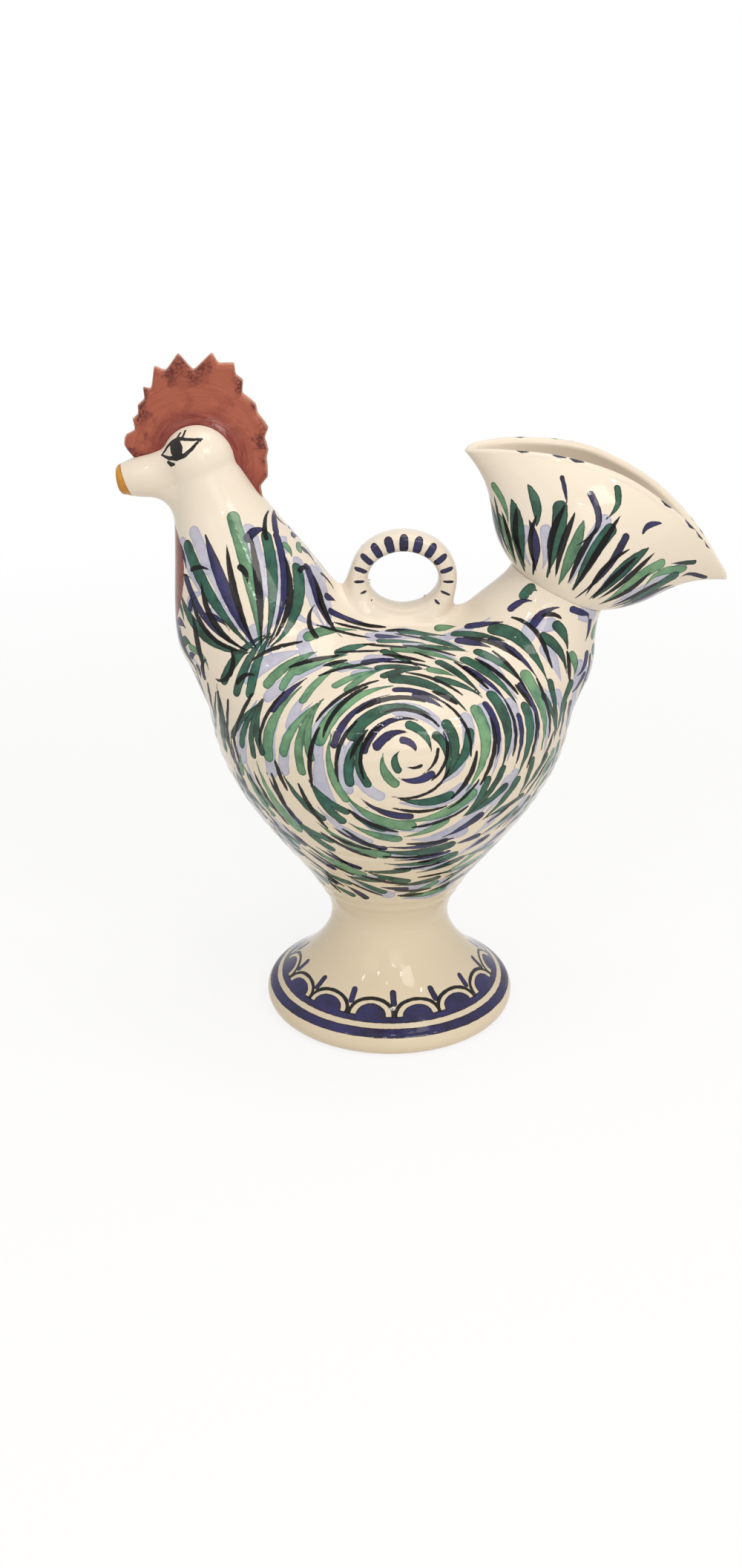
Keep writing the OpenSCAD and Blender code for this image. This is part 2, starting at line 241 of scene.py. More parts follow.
# The ground is painted darker and warmer towards the foot and whiter towards neck and tail: painted shade low
# down and painted light high up.
shaded_low_ground = add("Mix", {0: cloud, 6: "#D9C9AD", 7: "#E2D4BC"}, **COLOURS)
lit_high_ground = add("Mix", {0: cloud, 6: "#DFD3C1", 7: "#E7DCCD"}, **COLOURS)
height = add("MapRange", {0: add("SeparateXYZ", {0: place}, out=2), 1: 0.03, 2: 0.23}, **SMOOTH)
# Painted shade and light: the ground blends from the darker low colour to the whiter high one with height.
ground = add("Mix", {0: height, 6: shaded_low_ground, 7: lit_high_ground}, **COLOURS)


def laid(ground, cover, thin, thick, hold, strength=None):
    """Lays one colour over the ground where its cover passes two: thin paint in the middle, thick along the
    edge's last half millimetre and in the darker clouds, with hold as its opacity."""
    edge = add("Math", {0: cover, 1: waver}, operation="ADD")
    mask = add("MapRange", {0: edge, 1: 1.92, 2: 2.1, 3: 0, 4: hold}, **SMOOTH)
    pool = add("MapRange", {0: edge, 1: 2.0, 2: 2.9, 3: 0.75, 4: 0}, **SMOOTH)
    body = add("MapRange", {0: water, 1: 0.38, 2: 0.66, 3: 0, 4: 0.6})
    body = add("Math", {0: body, 1: pool}, operation="ADD")
    if strength is not None:
        body = add("Math", {0: body, 1: strength}, operation="ADD")
        body = add("Math", {0: body, 1: 0.45}, operation="SUBTRACT", use_clamp=True)
    paint = add("Mix", {0: body, 6: thin, 7: thick}, **COLOURS)
    return add("Mix", {0: mask, 6: ground, 7: paint}, **COLOURS)


colour = laid(ground, under[0], "#B7B8CA", "#9497B8", 0.85)
colour = laid(colour, under[1], "#699A70", "#1F5A41", 0.93, over[2])
colour = laid(colour, under[2], "#2C6350", "#082A22", 0.97, over[2])
colour = laid(colour, over[0], "#262660", "#0C0B26", 0.97, over[2])
colour = laid(colour, over[1], "#141215", "#080709", 0.98)
colour = laid(colour, earth[0], "#8C4331", "#5A1F18", 0.97)
colour = laid(colour, earth[1], "#CC8C2A", "#8A5A12", 0.98)
# Iron specks a third of a millimetre wide, one on about every square inch.
cells = add("TexVoronoi", {"Vector": place, "Scale": 95, "Randomness": 1}).node.outputs
iron = add("Math", {0: cells["Distance"], 1: 0.032}, operation="LESS_THAN")
rare = add("Math", {0: add("SeparateColor", {0: cells["Color"]}), 1: 0.93}, operation="GREATER_THAN")
for share in (rare, 0.75):
    iron = add("Math", {0: iron, 1: share}, operation="MULTIPLY")
colour = add("Mix", {0: iron, 6: colour, 7: "#5A4632"}, **COLOURS)
bare = add("Math", {0: earth[2], 1: waver}, operation="ADD")
bare = add("MapRange", {0: bare, 1: 1.8, 2: 2.2}, **SMOOTH)
buff = add("Mix", {0: water, 6: "#C9A67E", 7: "#B68C62"}, **COLOURS)
colour = add("Mix", {0: bare, 6: colour, 7: buff}, **COLOURS)
# Ripples of the dipped glaze, 25 mm long and a few tenths high, and a fine pebble of 1.4 mm.
ripple = add("TexNoise", {"Vector": place, "Scale": 40, "Detail": 1})
pebble = add("TexNoise", {"Vector": place, "Scale": 700, "Detail": 1})
relief = add("Bump", {"Height": ripple, "Strength": 1, "Distance": 0.0008})
relief = add("Bump", {"Height": pebble, "Strength": 1, "Distance": 0.00003, "Normal": relief})
feed(nodes["Principled BSDF"], {
    "Base Color": colour, "Roughness": add("MapRange", {0: bare, 3: 0.06, 4: 0.8}), "IOR": 1.45,
    "Specular IOR Level": 0.22, "Normal": relief,
})

foot_r, lip_r, waist = 61.4, 6.6, np.array([28.7, 50])
foot_around, outer_rows, inner_rows = 600, 110, 40
lip_middle, lip_turn = np.array([foot_r - lip_r, lip_r]), 57
lip = arc(lip_middle, lip_r, -90, lip_turn, 30)
across, up = (lip[-1] - lip_middle) / lip_r
flare = bezier(lip[-1], lip[-1] + (-14.3 * up, 14.3 * across), waist - (0, 15.4), waist, 60)
foot_outside = evenly(joined(lip, flare), outer_rows)
foot_inside = evenly(bezier(waist - (6, 0), waist - (6, 25), (46.8, 14.3), (49.8, 0)), inner_rows)
foot_grid, _ = thrown((0, 0, 0), 0, np.concatenate([foot_outside, foot_inside]), foot_around)
foot, foot_points = fired("foot", foot_grid, ring=True)

# The border follows two measures: the way up the flare from the upper line, and the way round it.
climb = run_of(foot_outside)
level = np.interp(foot_points[:, 2], foot_outside[:, 1], climb)
outside = np.repeat(np.arange(outer_rows + inner_rows) < outer_rows, foot_around)
line_low, line_high = (np.interp(z, foot_outside[:, 1], climb) for z in (12.2, 16.1))
radius = np.hypot(foot_points[:, 0], foot_points[:, 1])
turn = np.degrees(np.arctan2(foot_points[:, 1], foot_points[:, 0])) + 101
scallops = 14
pitch = 360 / scallops
scallop, gap = np.round(turn / pitch), np.round(turn / pitch - 0.5)
uneven = np.random.default_rng(3).uniform(-1, 1, (4, scallops + 1))
wide, high, shift = (uneven[i][(scallop % (scallops + 1)).astype(int)] for i in (0, 1, 3))
lean = uneven[2][(gap % (scallops + 1)).astype(int)]
across = np.radians(turn - scallop * pitch) * radius - 0.4 * shift
valley = np.radians(turn - (gap + 0.5) * pitch) * radius
above = level - line_high - 1.5
rings = np.maximum(2.4 - np.abs(level - line_low), 1.75 - np.abs(level - line_high))
half_round = (1 - np.hypot(across / (7.8 + 0.5 * wide), above / (6.1 + 0.6 * high))) * 6
dash = 1.55 - np.hypot(valley - 0.16 * (above - 9) * lean, np.maximum(np.abs(above - 9.4) - 2.7, 0))
arch = 0.6 - np.abs(np.hypot(across / (10.9 + 0.2 * wide), above / (8.6 + 0.5 * high)) - 1) * 9.2
arch += 0.35 * np.clip(above / 8, 0, 1)
none = -9
flank = np.where(outside, 2, 2 + none)
cobalt = np.maximum(np.maximum(rings, np.where(above > -2, half_round, none)), dash)
glazed(
    foot, foot_points,
    cobalt=np.maximum(flank + cobalt, 0),
    black=np.maximum(flank + np.where(above > -0.6, arch, none), 0),
    bare=np.maximum(2 + np.where(outside, 0.9 - foot_points[:, 2], 2), 0),
    strength=0.45 + 0.25 * np.sin(np.radians(turn * 5 + 40)) * np.cos(np.radians(turn * 3)),
)
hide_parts("pedestal_foot")


# Body: a closed pot thrown in two parts, a bowl and a dome joined at the widest level, and luted to the foot.
# The neck, the tail and the handle are luted on, and wet slip smoothed into each joint rounds it off.
def known(line):
    """Signed distance to an outline of (radius, height), negative inside, on a grid 1 mm apart. A point is
    inside where a level line from it crosses the outline an odd number of times."""
    low = line[:, 1].min() - 40
    radius, height = np.arange(0, line[:, 0].max() + 40), np.arange(low, line[:, 1].max() + 40)
    spot = np.stack(np.meshgrid(radius, height, indexing="ij"), -1)
    gap, inside = np.full(spot.shape[:2], 1e9), np.zeros(spot.shape[:2], bool)
    for (r, z), (r_2, z_2) in zip(line[:-1], line[1:]):
        way, rel = np.array([r_2 - r, z_2 - z]), spot - (r, z)
        t = np.clip(rel @ way / (way @ way + 1e-12), 0, 1)
        gap = np.minimum(gap, np.linalg.norm(rel - t[..., None] * way, axis=-1))
        if z != z_2:
            cross = r + (spot[..., 1] - z) / (z_2 - z) * (r_2 - r)
            inside ^= ((z > spot[..., 1]) != (z_2 > spot[..., 1])) & (spot[..., 0] < cross)
    gap = np.where(inside, -gap, gap)
    return low, np.stack([gap, *np.gradient(gap)], -1)


def clay(origin, tilt, line):
    """A thrown piece as a function: the signed distance of points from it and the direction straight out, by
    bilinear look-up in its table of (radius, height)."""
    low, cells = known(line)
    _, up = tilted(tilt)

    def away(points):
        out = points - np.asarray(origin)
        height = out @ up
        flat = out - height[:, None] * up
        radius = np.linalg.norm(flat, axis=1)
        i, j = np.clip(radius, 0, len(cells) - 1.001), np.clip(height - low, 0, cells.shape[1] - 1.001)
        a, b = i.astype(int), j.astype(int)
        s, t = (i - a)[:, None], (j - b)[:, None]
        inner = (1 - t) * cells[a, b] + t * cells[a, b + 1]
        outer = (1 - t) * cells[a + 1, b] + t * cells[a + 1, b + 1]
        found = (1 - s) * inner + s * outer
        return found[:, 0], unit(found[:, 1:2] * flat / (radius[:, None] + 1e-9) + found[:, 2:] * up)
    return away


handle_middle, handle_half = np.array([5.4, 0, 218.0]), (20.2, 16.9)


def handle_piece(points):
    """The same for the ring handle: an oval ring whose section is an oblong with rounded corners."""
    def gap(p):
        x, z = p[:, 0] - handle_middle[0], p[:, 2] - handle_middle[2]
        share = np.hypot(x / handle_half[0], z / handle_half[1]) + 1e-9
        off = (share - 1) * share / np.hypot(x / handle_half[0] ** 2, z / handle_half[1] ** 2)
        size = (np.abs(off / 4.3) ** 3 + np.abs(p[:, 1] / 8) ** 3) ** (1 / 3) + 1e-9
        return np.hypot(off, p[:, 1]) * (1 - 1 / size)
    here = gap(points)
    return here, unit(np.stack([gap(points + step) - here for step in np.eye(3) * 0.05], 1))


bowl_line = bezier((28.7, 50), (28.7, 75), (84.5, 112), (84.5, 160), 60)
dome_line = bezier((84.5, 160), (84.5, 187), (38, 198), (0, 198), 60)
body_piece = clay((0, 0, 0), 0, joined([(0, 30), (28.7, 30)], bowl_line, dome_line))
head_middle, neck_tilt = np.array([-85.401, 0, 270.926]), math.radians(-18.5)
neck_line = joined(
    bezier((28.96, -99.6), (34.86, -94.17), (38.4, -86.62), (38.4, -76)),
    bezier((38.4, -76), (38.4, -62.51), (18.15, -24.17), (15.9, -5)),
)
# Inside the head the neck ends in a dome, so that near the joint its direction stays that of its wall.
neck_end = bezier((15.9, -5), (15.3, 3), (10, 9), (0, 9))
neck_piece = clay(head_middle, neck_tilt, joined([(0, -99.6)], neck_line, neck_end))
tail_middle, tail_tilt = np.array([75.803, 0, 213.999]), math.radians(26)
stem_line = joined(
    bezier((25.4, -54), (30.4, -49.4), (33.4, -43), (33.4, -34)),
    bezier((33.4, -34), (33.4, -20.4), (23.2, -10.88), (23.2, 0)),
)
stem_piece = clay(tail_middle, tail_tilt, joined([(0, -54)], stem_line, [(0, 0)]))
head_r = 16.8
head_piece = clay(head_middle, 0, arc((0, 0), head_r, -90, 90, 60))
beak_tilt, beak_root = math.radians(-98.3), head_middle - (0, 0, 3.5)
beak_line = joined(bezier((10.4, 3.5), (10.4, 21.8), (9.38, 27.9), (7, 34)), arc((4, 34), 3, 0, 90))
beak_piece = clay(beak_root, beak_tilt, joined([(0, 3.5)], beak_line, [(0, 37)]))
# Each joint's fillet is this wide where the two pieces meet at a right angle.
JUG = {body_piece: 0, neck_piece: 30, stem_piece: 26, handle_piece: 14, head_piece: 24, beak_piece: 12}


def jug(points):
    """Distance from the whole jug: its pieces' distances run into one another by fillets, which are narrower
    where two pieces meet at a shallow angle."""
    gap, way = np.full(len(points), 1e3), np.zeros((len(points), 3))
    for piece, width in JUG.items():
        gap_2, way_2 = piece(points)
        fillet = (width + 1e-3) * np.clip(1 - (way * way_2).sum(1), 0.05, 1)
        share = np.clip(1 - np.abs(gap - gap_2) / fillet, 0, 1)
        way = np.where((gap < gap_2)[:, None], way, way_2)
        gap = np.minimum(gap, gap_2) - share ** 2 * fillet / 4
    return gap


def settled(points, normals, level=0):
    """Moves points along their normals until they lie on the whole jug's surface, or at a level over it."""
    for _ in range(10):
        points = points - (jug(points) - level)[:, None] * normals
    return points


def beside(points, piece):
    """Distance from the nearest of the jug's other pieces."""
    return np.min([other(points)[0] for other in JUG if other is not piece], 0)


def luted(skin, out, piece):
    """Moves a piece's skin to the surface of the whole jug, keeping its ripples. Well inside a neighbour it
    stays where it was, and just past the seam it dips a quarter of a millimetre out of sight."""
    points, normals = skin.reshape(-1, 3).copy(), out.reshape(-1, 3)
    rest = beside(points, piece)
    near = np.where((rest < 32) & (rest > -2.5))[0]
    start, normal = points[near], normals[near]
    spot = settled(start, normal, piece(start)[0])
    spot = start + (spot - start) * np.clip(1 + rest[near] / 2.5, 0, 1)[:, None]
    past = piece(spot)[0] - beside(spot, piece)
    points[near] = spot - 0.25 * np.clip((past - 0.3) / 1.5, 0, 1)[:, None] * normal
    return points.reshape(skin.shape)


def shaded(skin, piece):
    """Normals of a skin: across its own grid, but up the slope of the whole jug's distance where a fillet has
    moved it, so that no seam shows."""
    normals = np.cross(np.roll(skin, -1, 1) - np.roll(skin, 1, 1), np.gradient(skin, axis=0))
    normals, points = unit(normals).reshape(-1, 3), skin.reshape(-1, 3)
    gap = jug(points)
    share = np.clip((piece(points)[0] - gap - 0.02) / 0.1, 0, 1) * np.clip((0.6 - np.abs(gap)) / 0.3, 0, 1)
    near = np.where(share > 0)[0]
    slope = np.stack([jug(points[near] + step) - jug(points[near] - step) for step in np.eye(3) * 0.4], 1)
    share = share[near][:, None]
    normals[near] = normals[near] * (1 - share) + unit(slope) * share
    return normals.reshape(skin.shape)


bowl_count = 158
body_rows = np.concatenate([evenly(bowl_line, bowl_count), evenly(dome_line, 151)[1:]])
body_rows[-1] = (body_rows[-1] + body_rows[-2]) / 2
# The potter's fingers leave faint rings 6 mm apart, and two plain ones where the bowl springs from the waist.
body_z, fade = body_rows[:, 1], np.sin(np.linspace(0, np.pi, len(body_rows)))
body_rows[:, 0] -= 0.1 * (1 + np.sin(body_z / 1.02 + 1.3 * np.sin(body_z / 9))) * fade
body_rows[:, 0] += 0.45 * (np.exp(-((body_z - 64.5) / 1.5) ** 2) + np.exp(-((body_z - 70.5) / 1.4) ** 2))
body_skin, body_out = thrown((0, 0, 0), 0, body_rows, around=620)
body_skin = luted(body_skin, body_out, body_piece)
body_normals = shaded(body_skin, body_piece)
# Under the tail the dome drops into the round hole that lets the water in, 17.5 mm in radius.
_, tail_axis = tilted(tail_tilt)
to_axis = body_skin - tail_middle
from_axis = np.linalg.norm(to_axis - (to_axis @ tail_axis)[..., None] * tail_axis, axis=-1)
well = np.clip((17.5 - from_axis) / 1.6, 0, 1) * (body_skin[..., 0] > 20) * (body_skin[..., 2] > 140)
body_skin -= (24 * well)[..., None] * tail_axis
bowl, bowl_points = fired("bowl", body_skin[:bowl_count], normals=body_normals[:bowl_count])
dome, dome_points = fired("dome", body_skin[bowl_count - 1:], normals=body_normals[bowl_count - 1:])


# Painted feathers: strokes of a soft round brush, put down with its point and pressed to a round head. They
# wheel round the middle of each side in groups that spring from one root, where a seeded chance puts them.
def comma(half, count=9):
    """Half widths along a comma stroke: a thin tail that swells to a round head."""
    t = np.linspace(0, 1, count)
    return half * (0.12 + 0.88 * np.sin(np.minimum(t / 0.82, 1) * np.pi / 2) ** 1.5)


def hair(half, count=9):
    """Half widths along a line drawn with the brush's tip: fine at both ends."""
    return half * (0.45 + 0.55 * np.sin(np.pi * np.linspace(0, 1, count)) ** 0.7)


def leaf(half, count=9):
    """Half widths along a leaf: pointed at both ends and widest past its middle."""
    t = np.linspace(0, 1, count)
    return half * (0.1 + 0.9 * np.sin(np.pi * t ** 1.25) ** 0.8)


strokes = []


def draw(piece, layer, path, half, tone=0.5):
    """Keeps a stroke until all of them are settled on the jug together."""
    strokes.append((layer, path, half, tone, piece))


ball_middle, ball_r, side_rise = np.array([6, 0, 140]), 84.5, math.radians(15)


def wheel(layer, ring, start, long, slant, side, half, tone=0.5):
    """Draws a stroke on the body round the middle of a side: mm away from it, the angle where it starts, how
    long it runs and how far it slants outward. The mm are arcs of a ball inside the body, on which the middle
    lies 15 degrees up, and each point is moved out from the ball's centre to the skin later on."""
    t = np.linspace(0, 1, 9)
    size = np.maximum(ring + slant * t ** 1.3, 0.5) / ball_r
    angle = start + long / max(ring + slant / 2, 5) * t
    out, aside, rise = np.cos(size), np.sin(size) * np.cos(angle), np.sin(size) * np.sin(angle)
    up, level = math.sin(side_rise), math.cos(side_rise)
    way = np.stack([aside, side * (out * level - rise * up), out * up + rise * level], 1)
    draw(body_piece, layer, np.concatenate([ball_middle + ball_r * way, way], 1), half, tone)


def on_thrown(origin, tilt, line, turn, height):
    """Points on a thrown piece and their normals, at angles round its axis and heights along it."""
    radius = np.interp(height, line[:, 1], line[:, 0])
    slope = (np.interp(height + 0.4, line[:, 1], line[:, 0]) - radius) / 0.4
    side, up = tilted(tilt)
    spoke = np.cos(turn)[:, None] * side + np.sin(turn)[:, None] * ASIDE
    points = np.asarray(origin) + radius[:, None] * spoke + height[:, None] * up
    return np.concatenate([points, unit(spoke - slope[:, None] * up)], 1)


def apart(strokes):
    """Leaves out strokes that run into earlier ones, so that cream gaps stay: a green or blue one when over a
    fifth of it comes nearer to another than nine tenths of their half widths together, and a black one when
    any of it comes nearer to another black one than their half widths and a third of that again."""
    kept, seen = [], {black: (np.zeros((1, 3)), np.zeros(1)) for black in (True, False)}
    for layer, path, half, tone in strokes:
        if layer in ("deep", "pale", "cobalt", "black"):
            black = layer == "black"
            spots, halves = seen[black]
            room, most = (1.3, 0) if black else (0.9, 0.2)
            gap = np.linalg.norm(path[:, None] - spots, axis=2) - room * (half[:, None] + halves)
            if (gap.min(1) < 0).mean() > most:
                continue
            seen[black] = np.concatenate([spots, path]), np.concatenate([halves, half])
        kept.append((layer, path, half, tone))
    return kept


chance = np.random.default_rng(11)
roll = chance.uniform
for side in (-1, 1):
    for start, long, layer, half in ((0.4, 8, "cobalt", 1.6), (2.5, 9, "deep", 1.7), (4.4, 7, "black", 0.8)):
        wheel(layer, 4, start, long, 3, side, comma(half), 0.6)
    for start, layer, half in (
        (0.2, "deep", 2), (1.5, "cobalt", 2), (3, "pale", 2.2), (4.3, "cobalt", 2), (5.2, "black", 0.8),
    ):
        wheel(layer, 10, start, 15, 3, side, comma(half), roll(0.3, 0.8))
    for ring in np.arange(21, 136, 12.6):
        groups = round(2 * math.pi * ring / 33)
        phase = roll(0, 6.28)
        for group in range(groups):
            at = phase + 2 * math.pi * (group + roll(-0.16, 0.16)) / groups
            long = min(roll(27, 36), 1.5 * ring)
            # One group in five is a single broad leaf between two lines, the others are two to four blades.
            if roll() < 0.22:
                layer = "deep" if roll() < 0.6 else "pale"
                wheel(layer, ring - 1, at, long + 8, 4, side, comma(roll(2.8, 3.3)), roll(0.3, 0.8))
                wheel("cobalt", ring - 5.4, at + 3 / ring, long, 2, side, comma(roll(1.4, 2)), 0.6)
                wheel("black", ring + 4, at + 6 / ring, long, 3, side, hair(roll(1, 1.5)))
            else:
                leaves = chance.integers(2, 5)
                layer = "deep" if roll() < 0.66 else "pale"
                tone = roll(0.3, 0.75)
                for blade in range(leaves):
                    slant = -4.5 + 6.2 * blade + roll(-0.6, 0.6)
                    reach = long * (1 - 0.13 * abs(blade - 1)) * roll(0.85, 1)
                    root = at + 1.2 * blade / ring
                    half, shade = comma(roll(1.9, 2.5)), tone + roll(-0.15, 0.2)
                    wheel(layer, ring - 2 + 0.4 * blade, root, reach, slant, side, half, shade)
                if roll() < 0.9:
                    root, reach = at + roll(0, 9) / ring, roll(15, 24)
                    wheel("cobalt", ring - 7.2, root, reach, 1, side, comma(roll(1.7, 2.5)), roll(0.4, 0.9))
                if roll() < 0.8:
                    wheel("black", ring + 4.5, at + 2 / ring, roll(18, 30), 6, side, hair(roll(0.9, 1.5)))
            if roll() < 0.45:
                wheel("wash", ring + 1, at + 4 / ring, long * 0.95, 8, side, comma(roll(2.8, 3.8)))
            if roll() < 0.25:
                wheel("wash", ring - 6, at - 3 / ring, long * 0.7, -2, side, comma(roll(2.2, 3.2)))
    # Smaller strokes fill what gaps are left; those that run into others are left out further on.
    kinds = ("deep", "cobalt", "pale", "cobalt", "deep", "cobalt", "black", "black", "wash")
    halves = {
        "deep": (1.6, 2.6), "pale": (1.6, 2.5), "cobalt": (1.4, 2.2), "black": (0.8, 1.4), "wash": (2.4, 3.8),
    }
    for filler in range(620):
        ring, layer = 136 * roll(0.02, 1) ** 0.6, kinds[filler % 9]
        if layer == "wash" and filler > 300:
            continue
        half = (hair if layer == "black" else comma)(roll(*halves[layer]))
        long = min(roll(10, 34), 1.8 * ring + 5)
        wheel(layer, ring, roll(0, 6.28), long, roll(-2, 6), side, half, roll(0.3, 0.8))
strokes = [stroke for stroke in strokes if stroke[1][:, 2].min() > 60]

# Neck plumage: a spray of long leaves that rises from the breast on each side, with a rosette at either hand.
roll = np.random.default_rng(23).uniform


def on_neck(across, drop, side):
    """Path on the neck, from mm round it from the middle of a side and mm below the middle of the head."""
    reach = np.interp(-drop, neck_line[:, 1], neck_line[:, 0])
    return on_thrown(head_middle, neck_tilt, neck_line, side * np.pi / 2 - side * across / reach, -drop)


def sprout(root, low, lean, long, curl, side):
    """Path of a leaf that rises from its root, leaning over by an angle and curling back by another."""
    bow = np.radians(lean + curl * (np.linspace(0, 1, 9) - 0.35))
    steps = np.stack([np.sin(bow), np.cos(bow)]) * long / 8
    aside, rise = np.cumsum(steps, 1) - steps[:, :1]
    return on_neck(root + aside, low - rise, side)


for side in (-1, 1):
    for root, low, fan, tall, width in ((2, 82, 8, 61, 118), (-31, 90, 5, 36, 130), (31, 88, 6, 40, 120)):
        for blade in range(fan):
            lean = (blade - (fan - 1) / 2) * (width / (fan - 1)) + roll(-5, 5)
            long = tall * (1 - 0.0035 * abs(lean)) * roll(0.72, 1)
            curl = -1.3 * lean * roll(0.7, 1.3)
            layer = ("deep", "cobalt", "deep", "cobalt", "pale")[blade % 5]
            half = roll(2.4, 3.3) if layer != "cobalt" else roll(1.8, 2.6)
            shape = comma(half) if roll() < 0.6 else leaf(half * 1.1)
            path = sprout(root + 0.08 * lean, low - 2, lean, long, curl, side)
            draw(neck_piece, layer, path, shape, roll(0.35, 0.8))
            if roll() < 0.9:
                path = sprout(root + 0.12 * lean, low - 3, lean + 8, long * 0.85, curl * 1.4, side)
                draw(neck_piece, "black", path, leaf(roll(1.2, 2)))
            if roll() < 0.4:
                path = sprout(root, low - 6, lean - 7, long * 0.98, curl, side)
                draw(neck_piece, "wash", path, comma(roll(2.8, 4)))
    # Small arcs stand above the spray and in the hollows between the three roots.
    kinds = ("deep", "cobalt", "pale", "cobalt", "black", "deep", "cobalt", "black")
    halves = {"deep": 2.2, "pale": 2, "cobalt": 1.8, "black": 1.2, "wash": 3}
    for arch in range(240):
        middle, low, size = roll(-46, 48), roll(36, 104), roll(5, 11)
        a = roll(-0.6, 2) + np.linspace(0, roll(1, 1.7), 9)
        layer = "wash" if arch % 16 == 5 else kinds[arch % 8]
        path = on_neck(middle + size * np.cos(a), low - size * np.sin(a), side)
        draw(neck_piece, layer, path, comma(halves[layer] * roll(0.8, 1.2)), 0.55)

# The tail's root carries loose arcs, thickest on the side away from the head.
roll = np.random.default_rng(31).uniform
halves = {"deep": 2.5, "pale": 2.1, "cobalt": 1.7, "black": 1.2, "wash": 3.2}
for side in (-1, 1):
    for stroke in range(110):
        kinds = ("deep", "cobalt", "pale", "deep", "cobalt", "wash", "deep" if stroke % 3 else "black")
        layer = kinds[stroke % 7]
        size, middle = roll(7, 10 if layer == "black" else 14), side * np.radians(roll(-4, 122))
        height = -roll(4, 40)
        a = roll(0, 2 * np.pi) + np.linspace(0, roll(0.9, 1.4), 9)
        reach = np.interp(height, stem_line[:, 1], stem_line[:, 0])
        turn, height = middle + size * np.cos(a) / reach, np.minimum(height + size * np.sin(a), -2.5)
        half = (hair if layer == "black" else comma)(halves[layer] * roll(0.8, 1.2))
        path = on_thrown(tail_middle, tail_tilt, stem_line, turn, height)
        draw(stem_piece, layer, path, half, roll(0.3, 0.8))

# All strokes settle on the jug together. Those are left out that reach far off their own piece, lie on top of
# the back or in the finger's breadth above the waist, or cross the middle of the breast.
flat = np.concatenate([path for _, path, *_ in strokes])
spots = np.split(settled(flat[:, :3], flat[:, 3:]), np.cumsum([len(path) for _, path, *_ in strokes])[:-1])
feathers = []
for (layer, _, half, tone, piece), spot in zip(strokes, spots):
    low = spot[:, 2].min()
    off_back = piece is not body_piece or np.abs(spot[:, 1]).min() > (15 if low > 180 else 0.5)
    if piece(spot)[0].max() < 17 and off_back and low > (71 if layer == "black" else 73):
        feathers.append((layer, spot, half, tone))
feathers = apart(feathers)

for piece, points, node in ((bowl, bowl_points, "body_bowl"), (dome, dome_points, "body_dome")):
    glazed(piece, points, feathers)
    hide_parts(node)


# Neck: a cone thrown in two parts, joined half way, cut at a slant and luted over the front hole, so that it
# leans forward and swells into the breast. A red wattle is painted down its front.
breast_count, joint_drop = 110, 50
neck_run = run_of(neck_line)
neck_joint = np.interp(-joint_drop, neck_line[:, 1], neck_run)
upper = np.linspace(neck_joint, neck_run[-1], 100)[1:]
steps = np.concatenate([np.linspace(0, neck_joint, breast_count), upper])
neck_rows = np.stack([np.interp(steps, neck_run, neck_line[:, i]) for i in (0, 1)], 1)
neck_skin, neck_out = thrown(head_middle, neck_tilt, neck_rows, around=340)
neck_skin = luted(neck_skin, neck_out, neck_piece)
neck_normals = shaded(neck_skin, neck_piece)
breast, breast_points = fired("breast", neck_skin[:breast_count], normals=neck_normals[:breast_count])
neck, neck_points = fired("neck", neck_skin[breast_count - 1:], normals=neck_normals[breast_count - 1:])
t = np.linspace(0, 1, 13)
wattle = on_thrown(head_middle, neck_tilt, neck_line, np.full(13, np.pi), -27 - 34 * t)
wattle = settled(wattle[:, :3], wattle[:, 3:])
earths = [("red", wattle, 19 * np.sin(np.pi * (0.04 + 0.92 * t)) ** 0.75, 0.5)]
for piece, points, node in ((breast, breast_points, "breast"), (neck, neck_points, "neck")):
    glazed(piece, points, feathers + earths)
    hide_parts(node)

# Head: a small hollow ball luted to the neck. The eyes are drawn on each side with the tip of the brush.
head_rows = evenly(arc((0, 0), head_r, -89, 89, 80), 150)
head_skin, head_out = thrown(head_middle, 0, head_rows, around=300)
head_skin = luted(head_skin, head_out, head_piece)
head, head_points = fired("head", head_skin, normals=shaded(head_skin, head_piece))


def on_head(x, z, side):
    """Points on the head where the camera's sight lines through points of the plane 18 mm in front of its
    middle meet the skin; the far side is its mirror image."""
    eye = np.array([-9.3, -693.5, 400.3])
    start = np.stack([x, np.full(len(x), -18.0), z], 1)
    way = unit(start - eye)
    for _ in range(12):
        start = start + jug(start)[:, None] * way
    return start * np.array([1, -side, 1])


# The two lids meet in a corner in front and in a point behind, round the iris. Two lashes stand over them and
# a short stroke under them. Each line gives x, z and half width at its points.
eye_lines = (
    ((-99.6, -97.2, -94.6, -92, -88.6, -85.2, -81.9), (276.4, 279.6, 282.2, 283.4, 283, 282.9, 283.3),
     (0.5, 0.9, 1.05, 1, 0.85, 0.75, 0.5)),
    ((-99.6, -96.4, -93, -89.6, -86.6, -84.4, -81.9), (276.4, 275, 274.9, 276.3, 278.8, 281.3, 283.3),
     (0.5, 0.9, 1.1, 1, 0.85, 0.7, 0.5)),
    ((-93.7, -93.3, -92.9), (280.7, 279, 277.4), (2.9, 3.3, 2.8)),
    ((-93, -92, -91.1), (283, 284.5, 285.8), (0.6, 0.6, 0.5)),
    ((-91, -89.8, -88.9), (283, 284.8, 286.8), (0.6, 0.6, 0.5)),
    ((-97, -95.8, -94.4), (273.4, 272.4, 272.4), (0.6, 1.1, 0.6)),
)
for side in (-1, 1):
    for x, z, half in eye_lines:
        earths.append(("black", on_head(np.array(x), np.array(z), side), np.array(half), 0.5))
glazed(head, head_points, earths)
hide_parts("head")

